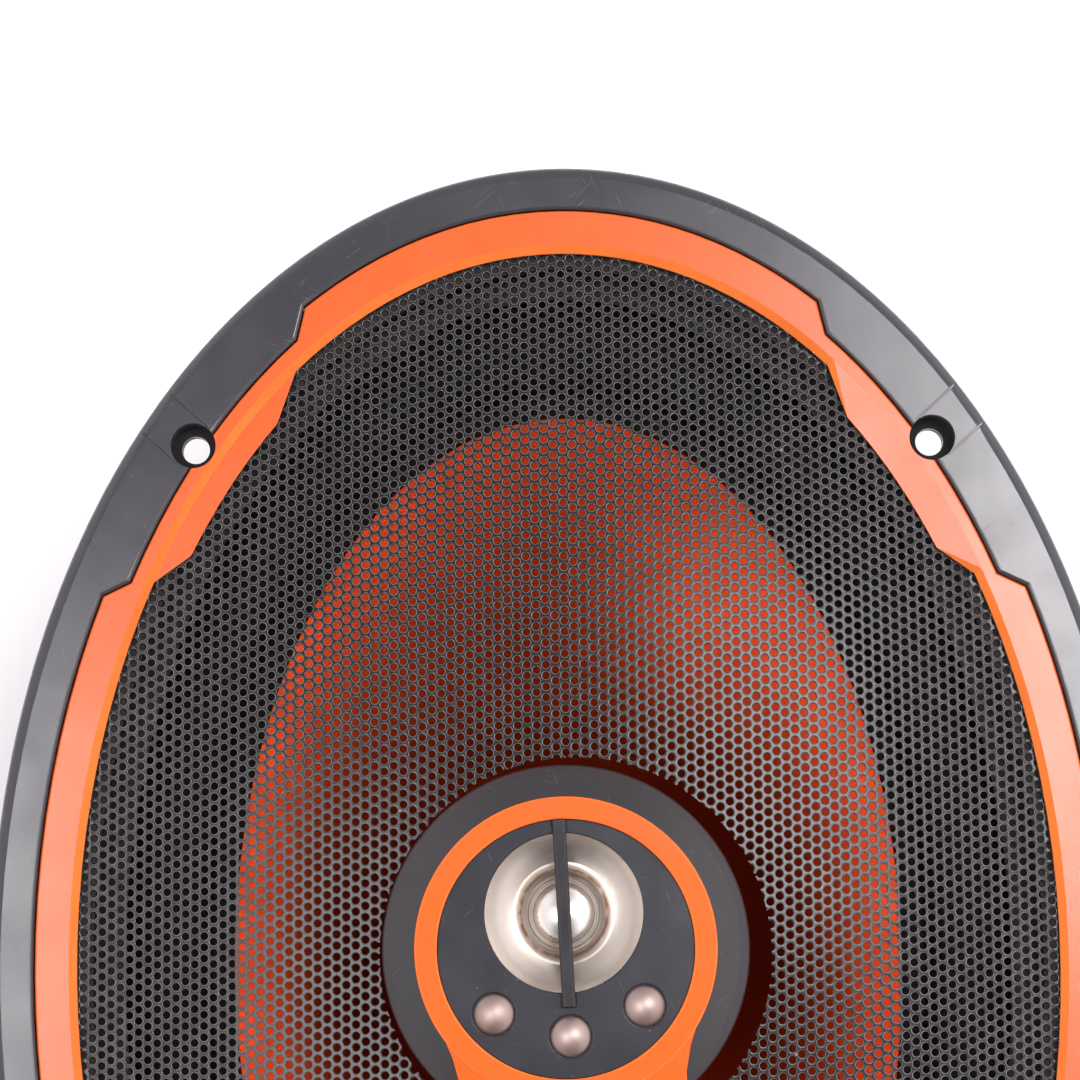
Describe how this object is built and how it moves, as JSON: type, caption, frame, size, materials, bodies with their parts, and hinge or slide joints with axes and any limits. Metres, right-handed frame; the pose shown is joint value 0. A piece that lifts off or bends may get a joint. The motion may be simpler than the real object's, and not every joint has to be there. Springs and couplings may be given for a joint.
{
  "type": "coaxial car speaker",
  "caption": "Oval coaxial car speaker: black trim with an orange accent ring, domed perforated grille, orange cone and a central tweeter pod, on a windowed basket with a booted magnet.",
  "frame": {"origin": "centre of the four-screw pattern, on the rear face of the basket's flange", "axes": "+Z points out of the front of the speaker, along the cone's travel; +Y is along the oval's long axis; +X is the side with the terminals"},
  "size_m": [0.1706, 0.2378, 0.1014],
  "materials": {
    "trim_plastic": "satin moulded black",
    "accent_paint": "satin metallic orange paint",
    "grille_paint": "satin black powder coat",
    "gasket_board": "pressed board",
    "basket_paint": "satin black",
    "rivet_steel": "plated",
    "cone_poly": "orange moulded polypropylene",
    "surround_rubber": "matt",
    "spider_cloth": "resin-stiffened weave",
    "former_film": "amber film",
    "coil_copper": "enamelled copper wire",
    "zinc_steel": "zinc plated",
    "ferrite": "sintered, ground",
    "boot_rubber": "matt moulded",
    "pod_plastic": "satin moulded black",
    "pod_face_plastic": "satin dark grey",
    "pod_accent": "satin orange paint",
    "screw_steel": "plated",
    "dish_metal": "satin champagne metallised",
    "dome_foil": "satin metallised",
    "suspension_film": "translucent film",
    "capsule_metal": "satin warm silver",
    "neodymium": "nickel plated",
    "cable_jacket": "soft PVC, matt",
    "capacitor_sleeve": "shrink sleeve",
    "terminal_fibre": "phenolic board",
    "terminal_tin": "tinned brass",
    "lead_braid": "tinsel braid"
  },
  "bodies": {
    "basket": {"trim_frame": "trim_plastic", "accent_ring": "accent_paint", "grille_mesh": "grille_paint", "front_gasket": "gasket_board", "basket": "basket_paint", "basket_rivets": "rivet_steel", "surround": "surround_rubber", "spider": "spider_cloth", "top_plate": "zinc_steel", "ferrite_magnet": "ferrite", "yoke": "zinc_steel", "magnet_boot": "boot_rubber", "center_post": "screw_steel", "post_nuts": "screw_steel", "pod_base": "pod_plastic", "pod_housing": "pod_plastic", "pod_ring": "pod_accent", "pod_face": "pod_face_plastic", "pod_screws": "screw_steel", "tweeter_bridge": "pod_plastic", "tweeter_dish": "dish_metal", "tweeter_suspension": "suspension_film", "tweeter_cup": "zinc_steel", "tweeter_magnet": "neodymium", "tweeter_pole_disc": "zinc_steel", "tweeter_lugs": "terminal_tin", "tweeter_cable": "cable_jacket", "crossover_capacitor": "capacitor_sleeve", "terminal_board": "terminal_fibre", "terminal_rivets": "rivet_steel", "capsule_left": "capsule_metal", "capsule_centre": "capsule_metal", "capsule_right": "capsule_metal", "positive_terminal": "terminal_tin", "negative_terminal": "terminal_tin", "tinsel_lead_positive": "lead_braid", "tinsel_lead_negative": "lead_braid"},
    "cone_assembly": {"cone": "cone_poly", "voice_coil_former": "former_film", "voice_coil_winding": "coil_copper"},
    "tweeter_diaphragm": {"tweeter_dome": "dome_foil", "tweeter_voice_coil": "coil_copper"}
  },
  "joints": [
    {"name": "cone_travel", "type": "slide", "parent": "basket", "child": "cone_assembly", "axis": [0, 0, 1], "range_m": [-0.006, 0.006], "stiffness_N_per_m": 2400, "deforming": ["surround", "spider", "tinsel_lead_positive", "tinsel_lead_negative"]},
    {"name": "tweeter_dome_travel", "type": "slide", "parent": "basket", "child": "tweeter_diaphragm", "axis": [0, 0, 1], "range_m": [-0.00025, 0.00025], "stiffness_N_per_m": 40, "deforming": ["tweeter_suspension"]}
  ]
}
